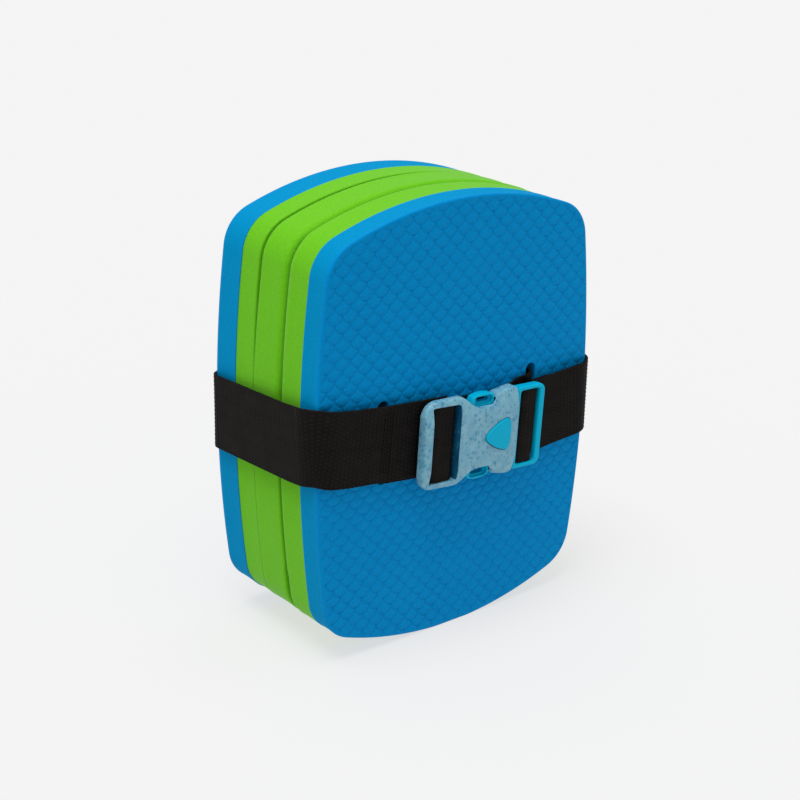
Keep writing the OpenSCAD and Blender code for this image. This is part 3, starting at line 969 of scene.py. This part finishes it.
# The buckle's own sizes: across from its middle, towards the plug, and depths ahead of the pad.
SOCKET_LEFT, MOUTH = -39.0, 19.7
SOCKET_HALF, WAIST_DEPTH, WAIST_LEFT, WAIST_RIGHT = 22.5, 6.6, -5.5, 3.2
MOUTH_R, BELT_END_R = 2.5, 8
WINDOW_LEFT, WINDOW_RIGHT, WINDOW_HALF = -34.0, -17.7, 19.3
SOCKET_FRONT, BODY_BACK, LOOP_BACK = 13.3, 2.2, 6.4
# How much the socket thins at its upper and lower edges, over its waist and at its belt end.
THIN_FRONT, THIN_BACK, WAIST_DIP, BELT_END_DIP = 2.4, 2.6, 0.5, 0.6
HOLLOW_LEFT, HOLLOW_HALF, HOLLOW_FRONT, HOLLOW_BACK = -13, 18.9, 10.8, 4.8
SOCKET_BAR = (-30, -23.4)
SOCKET_BAR_FRONT, SOCKET_BAR_BACK = 8.6, 5.6

INLAY_FRONT, INLAY_R = 14.2, 0.5
SEAT_R, SEAT_DEPTH = 0.9, 0.8

PLUG_LEFT, PLUG_RIGHT, PLUG_HALF = MOUTH + 0.2, MOUTH + 18.3, 21.4
PLUG_FRONT, PLUG_BACK, PLUG_THINNER = 11.0, 6.0, 1.5
PLUG_SHOULDER_W, PLUG_BAR_W, PLUG_ARM_W = 2.1, 3.3, 2.1
PLUG_MIDDLE_BAR = (PLUG_LEFT + 5.1, PLUG_LEFT + 10.9)
PLUG_BAR_FRONT, PLUG_BAR_BACK = 9.4, 6.3

# The prongs turn about a round root in the plug's shoulder.
PRONG_FRONT, PRONG_BACK, DISH_FLOOR = 10.2, 5.6, 8.4
ROOT_U, ROOT_W, ROOT_REACH, ROOT_SEAT_R = MOUTH - 0.5, 14.9, 1.4, 1.65
# Tools that cut through a prong or the plug start ahead of its front.
CUT_FRONT = 12.0


def box_loop(x0, x1, z0, z1, radius, step=0.7):
    """A rounded rectangle, anticlockwise."""
    corners = [(x1, z0), (x1, z1), (x0, z1), (x0, z0)]
    return resample(filleted(corners, [radius] * 4, step=10), step)


def socket_loop():
    """Socket outline: a round-cornered belt end, a waist for the fingers and a square mouth."""
    u = np.linspace(MOUTH - MOUTH_R, SOCKET_LEFT + BELT_END_R, 90)
    left = smooth((WAIST_LEFT - u) / 12.0)
    # Towards the mouth the waist steps out, and then eases out.
    right = 0.68 * smooth((u - WAIST_RIGHT) / 3.6) + 0.32 * smooth((u - WAIST_RIGHT) / 13)
    top = SOCKET_HALF - WAIST_DEPTH * (1 - left) * (1 - right)
    upper = np.vstack([
        arc((MOUTH - MOUTH_R, SOCKET_HALF - MOUTH_R), MOUTH_R, 0, 90, 10),
        np.column_stack([u, top]),
        arc((SOCKET_LEFT + BELT_END_R, SOCKET_HALF - BELT_END_R), BELT_END_R, 90, 180, 5),
    ])
    return resample(np.vstack([upper, upper[::-1] * [1, -1]]), 0.6)


def solid(name, loops, front, back, rims, details=((), ())):
    """A plate of the buckle as its own closed mesh object."""
    points, faces, _ = plate(loops, front, back, *rims, details=details)
    ob = new_mesh(name, on_buckle(points), faces)
    outward(ob)
    return ob


def cut(ob, name, loop, front, back, soft, steps=4, hold=0.1, operation="DIFFERENCE"):
    """Takes a plate out of a solid, or joins it on with UNION."""
    tool = solid(name, [loop], front, back, [rounded_rim(soft, steps, hold)] * 2)
    modifier = ob.modifiers.new("cut", "BOOLEAN")
    modifier.operation = operation
    modifier.solver = "MANIFOLD"
    modifier.object = tool
    bpy.context.view_layer.update()
    ready = ob.evaluated_get(bpy.context.evaluated_depsgraph_get())
    mesh = bpy.data.meshes.new_from_object(ready)
    if len(mesh.vertices) == len(ob.data.vertices):
        raise RuntimeError(f"{name} leaves {ob.name} unchanged")
    ob.modifiers.clear()
    mesh.materials.clear()
    ob.data = mesh
    bpy.data.objects.remove(tool)


def socket_shell():
    """The socket's body and belt end, before it is hollowed."""
    loop = socket_loop()
    window = box_loop(WINDOW_LEFT, WINDOW_RIGHT, -WINDOW_HALF, WINDOW_HALF, 1.0, 0.5)[::-1]

    def thinning(p):
        """From 0 in the middle to 1 at the upper and lower edges."""
        return smooth((np.abs(p[:, 1]) - 9) / 15) ** 1.5

    def back(p):
        body = smooth((p[:, 0] + 19) / 9)
        return LOOP_BACK + (BODY_BACK - LOOP_BACK + THIN_BACK * thinning(p)) * body

    def front(p):
        over_waist = smooth((p[:, 0] - WAIST_LEFT + 9) / 9) * smooth((WAIST_RIGHT + 6 - p[:, 0]) / 6)
        dip = over_waist * smooth((np.abs(p[:, 1]) - 11) / 6)
        belt_end = smooth((-20 - p[:, 0]) / 12)
        return SOCKET_FRONT - BELT_END_DIP * belt_end - WAIST_DIP * dip - THIN_FRONT * thinning(p)

    def radius(p):
        at_window = len(p) == len(window)
        belt_end = smooth((-18 - p[:, 0]) / 8)
        return 0.45 + 0.15 * belt_end if at_window else 1.3 + 0.35 * belt_end

    grid = np.array([(u, w) for u in np.arange(-13, 18, 2.0) for w in np.arange(-20, 20.1, 2.0)])
    grid = grid[inside(grid, loop + inward(loop) * 2.3)]
    rims = (rounded_rim(radius, 6, 0.1), rounded_rim(radius, 4, 0.1))
    return solid("socket_shell", [loop, window], front, back, rims, ((grid, np.zeros(len(grid))), ()))


def shade_deep_walls(ob):
    """Darkens the window's right wall and the inlay's seat, which the photograph shows in shade."""
    ob.data.materials.append(FROST_PAINTED_SHADE)
    for face in ob.data.polygons:
        u, w, d = off_buckle(face.center)
        in_window = abs(u - WINDOW_RIGHT) < 0.35 and abs(w) < WINDOW_HALF - 0.4
        in_seat = abs(w) < 9 and 0 < u < 15 and d > SOCKET_FRONT - 0.9
        if d < SOCKET_FRONT - 0.3 and (in_window or in_seat):
            face.material_index = 1


def build_socket():
    """The frosted half: hollowed for the plug, seated for the inlay, with its ladder bar."""
    ob = socket_shell()
    hollow = box_loop(HOLLOW_LEFT, MOUTH + 6, -HOLLOW_HALF, HOLLOW_HALF, 1.2)
    cut(ob, "hollow", hollow, HOLLOW_FRONT, HOLLOW_BACK, 0.6, 3, 0.15)
    seat = inlay_loop(SEAT_R)
    cut(ob, "inlay_seat", seat, 15, SOCKET_FRONT - SEAT_DEPTH, 0.1, 1, 0.05)
    bar = box_loop(*SOCKET_BAR, -WINDOW_HALF - 1, WINDOW_HALF + 1, 1.4)
    cut(ob, "bar", bar, SOCKET_BAR_FRONT, SOCKET_BAR_BACK, 0.9, 4, 0.15, "UNION")
    shade(ob.data)
    finish_piece(ob, FROST, "frosted_plastic", "float", "socket")
    shade_deep_walls(ob)


def inlay_loop(grow):
    """A rounded three-cornered shield with bowed sides, pointing to the belt end."""
    tip, upper, lower = np.array([1.0, 0.0]), np.array([11.3, 5.6]), np.array([11.3, -5.6])
    bow_r, soft = 24.0, 2.0 + grow
    sides = []
    for p, q in ((lower, upper), (upper, tip), (tip, lower)):
        chord = q - p
        length = np.linalg.norm(chord)
        inwards = np.array([-chord[1], chord[0]]) / length
        centre = (p + q) / 2 + inwards * math.sqrt(bow_r**2 - length**2 / 4)
        start = bearing(p - centre)
        end = start + wrapped(bearing(q - centre) - start)
        sides.append((centre, start, end, q))
    points = []
    for k, (centre, start, end, q) in enumerate(sides):
        points.append(arc(centre, bow_r + soft, start, end, 2))
        following = sides[(k + 1) % 3][1]
        following = end + wrapped(following - end)
        points.append(arc(q, soft, end, following, 10))
    return resample(np.vstack(points), 0.5)


def build_inlay():
    """The teal shield, slightly domed and set into its seat."""
    loop = inlay_loop(INLAY_R)
    centre = np.array([8.0, 0.0])

    def front(p):
        away = np.linalg.norm(p - centre, axis=1)
        return INLAY_FRONT - 0.25 * (away / 9) ** 2

    rings = np.vstack([centre + (loop[::3] - centre) * share for share in (0.25, 0.5, 0.75)])
    back = SOCKET_FRONT - SEAT_DEPTH + 0.02
    rims = (rounded_rim(0.35, 4), rounded_rim(0.1, 1))
    points, faces, _ = plate([loop], front, back, *rims, details=((rings, np.zeros(len(rings))), ()))
    ob = new_mesh("inlay_badge", on_buckle(points), faces, sharp=SHARP_ANGLE)
    finish_piece(ob, TEAL, "teal_plastic", "float", "pick_inlay")


def build_plug():
    """The teal half: a frame with a ladder bar, a centre tongue and seats for the prongs."""
    left, right, half = PLUG_LEFT, PLUG_RIGHT, PLUG_HALF
    corners = [(right, -half), (right, half), (left, half), (left, -half)]
    outer = resample(filleted(corners, [4, 4, 1.2, 1.2], step=8), 0.6)
    open_right, open_half = right - PLUG_BAR_W, half - PLUG_ARM_W
    opening = box_loop(left + PLUG_SHOULDER_W, open_right, -open_half, open_half, 1.2)[::-1]

    def back(p):
        return PLUG_BACK + PLUG_THINNER * smooth((p[:, 0] - open_right + 1) / 1.2)

    ob = solid("plug_shell", [outer, opening], PLUG_FRONT, back, [rounded_rim(0.85, 4, 0.1)] * 2)
    middle = box_loop(*PLUG_MIDDLE_BAR, -WINDOW_HALF - 1, WINDOW_HALF + 1, 1.2)
    cut(ob, "bar", middle, PLUG_BAR_FRONT, PLUG_BAR_BACK, 0.8, operation="UNION")
    tongue = box_loop(HOLLOW_LEFT, left + 1, -3, 3, 2.9, 0.5)
    cut(ob, "tongue", tongue, PRONG_FRONT, PRONG_BACK, 0.5, operation="UNION")
    for side in (-1, 1):
        seat = arc((ROOT_U, side * ROOT_W), ROOT_SEAT_R, 0, 360, 15)
        cut(ob, "seat", seat, CUT_FRONT, 4.5, 0.05, 1)
    shade(ob.data)
    finish_piece(ob, TEAL, "teal_plastic", "plug", "plug_frame")


def finger_loop():
    """Upright outline of the finger pad at a prong: a curved top that slopes to the arm's tip."""
    centre_u, centre_w, radius = -2.0, 2.0, 20.0
    left, right, foot = -9.6, 5.0, 14.2
    slope, slope_u, slope_w = 27 / 11, -11, 15.5

    def curve(u):
        return centre_w + np.sqrt(radius**2 - (u - centre_u) ** 2)

    def on_slope(w):
        return (w - slope_w) / slope + slope_u, w

    u = np.linspace(right - 1.5, left, 30)
    top = np.column_stack([u, curve(u)])
    top = top[top[:, 1] < slope_w + (top[:, 0] - slope_u) * slope - 0.8]
    tip = [on_slope(top[-1, 1] - 0.5), on_slope(17.2)]
    corners = [(right, foot), (right, curve(right)), *top, *tip, (left, foot)]
    radii = [1.3, 1.6, *[0] * len(top), 0, 2.0, 1.3]
    loop = resample(filleted(corners, radii, step=12), 0.35)
    for _ in range(4):
        loop = (loop + (np.roll(loop, 1, axis=0) + np.roll(loop, -1, axis=0)) / 2) / 2
    return loop


def build_prong(name, node, side):
    """One springy arm of the plug with its dished, slotted finger pad."""
    # From its root the arm runs to the finger pad's right end and tapers under the pad.
    root = [(ROOT_U, ROOT_W - ROOT_REACH), (ROOT_U, ROOT_W + ROOT_REACH)]
    corners = [*root, (4.1, 17.2), (-11, 15.5), (-11, 14), (4.1, 13.5)]
    arm = filleted(corners, [1.35, 1.35, 1.0, 0.7, 0.7, 4.0], step=12)
    ob = solid(name, [resample(arm, 0.5)], PRONG_FRONT, PRONG_BACK, [rounded_rim(0.4, 3, 0.1)] * 2)
    cut(ob, "pad", finger_loop(), PRONG_FRONT, PRONG_BACK, 0.8, operation="UNION")
    dish = box_loop(-7.8, 3.6, 16.2, 20.8, 2.0, 0.4)
    cut(ob, "dish", dish, CUT_FRONT, DISH_FLOOR, 0.3, 2)
    eye = box_loop(-5.6, 2.4, 17.4, 19.8, 1.15, 0.4)
    cut(ob, "eye", eye, CUT_FRONT, 4.0, 0.05, 1)
    shade(ob.data)
    if side < 0:
        flip_on_buckle(ob)
    finish_piece(ob, TEAL, "teal_plastic", node, node)


def flip_on_buckle(ob):
    """Mirrors a mesh about the buckle's own middle line."""
    points = np.zeros(len(ob.data.vertices) * 3)
    ob.data.vertices.foreach_get("co", points)
    points = points.reshape(-1, 3) / MM
    origin = np.array([BUCKLE[0], 0, MID_Z + BUCKLE[1]])
    away = (points - origin) @ BUCKLE_UP
    points -= 2 * away[:, None] * BUCKLE_UP
    ob.data.vertices.foreach_set("co", (points * MM).ravel())
    ob.data.flip_normals()
    ob.data.update()


# ------ floor, light and camera

FLOOR_HALF_M = 6.0
FLOOR_SHADE, FLOOR_GLOW = 0.2, 0.645
DOME_LOW, DOME_HIGH, BACKDROP = 0.22, 1.0, 0.913
SUN_POWER, SUN_WIDTH, SUN_TOWARDS = 1.9, 34, (0.26, 0.07, -1.0)

# The camera that was fitted to the outlines of the pads, in metres.
LENS = 75.615
CAMERA_AT = (-0.49821, -0.60885, 0.40848)
CAMERA_RIGHT = (0.78319191, -0.62144835, 0.02030715)
CAMERA_UP = (0.20642274, 0.290678, 0.93428901)
CAMERA_BACK = (-0.5865152, -0.72753574, 0.35593773)


def build_studio():
    """A pale floor, an even dome of light over it, and one wide soft light from above."""
    half = FLOOR_HALF_M / MM
    corners = [(-half, -half, 0), (half, -half, 0), (half, half, 0), (-half, half, 0)]
    floor = new_mesh("floor", corners, [(0, 1, 2, 3)])
    floor.data.materials.append(floor_paper("pale paper"))
    world = bpy.data.worlds.new("studio")
    bpy.context.scene.world = world
    world.use_nodes = True
    tree = world.node_tree
    tree.nodes.clear()
    direction = add(tree, "ShaderNodeTexCoord").outputs["Generated"]
    height = add(tree, "ShaderNodeSeparateXYZ", {0: direction}).outputs["Z"]
    strength = span(tree, height, DOME_LOW, DOME_HIGH)
    dome, backdrop = (
        add(tree, "ShaderNodeBackground", {"Color": grey(1), "Strength": power}).outputs[0]
        for power in (strength, BACKDROP)
    )
    seen = add(tree, "ShaderNodeLightPath").outputs["Is Camera Ray"]
    both = add(tree, "ShaderNodeMixShader", {0: seen, 1: dome, 2: backdrop})
    add(tree, "ShaderNodeOutputWorld", {0: both.outputs[0]})
    sun = bpy.data.lights.new("high light", "SUN")
    sun.energy = SUN_POWER
    sun.angle = math.radians(SUN_WIDTH)
    ob = new_object("high light", sun)
    ob.rotation_mode = "QUATERNION"
    ob.rotation_quaternion = Vector(SUN_TOWARDS).to_track_quat("-Z", "Y")
    bpy.context.scene.view_settings.view_transform = "Standard"


def build_camera():
    """The photograph's own view."""
    data = bpy.data.cameras.new("camera")
    data.sensor_width = 36
    data.lens = LENS
    data.clip_start, data.clip_end = 0.05, 30
    ob = new_object("camera", data)
    turn = Matrix((CAMERA_RIGHT, CAMERA_UP, CAMERA_BACK)).transposed().to_4x4()
    ob.matrix_world = Matrix.Translation(CAMERA_AT) @ turn
    bpy.context.scene.camera = ob


build_pads()
belt = build_belt()
build_tails(belt)
build_bartack(belt)
build_loop("loop_left", "float", left=-33.0, width=14.8, foot=5.3)
build_loop("loop_right", "plug", left=22.6, width=11.7, foot=5.5)
build_socket()
build_inlay()
build_plug()
build_prong("upper_prong", "prong_top", 1)
build_prong("lower_prong", "prong_bottom", -1)
build_studio()
build_camera()
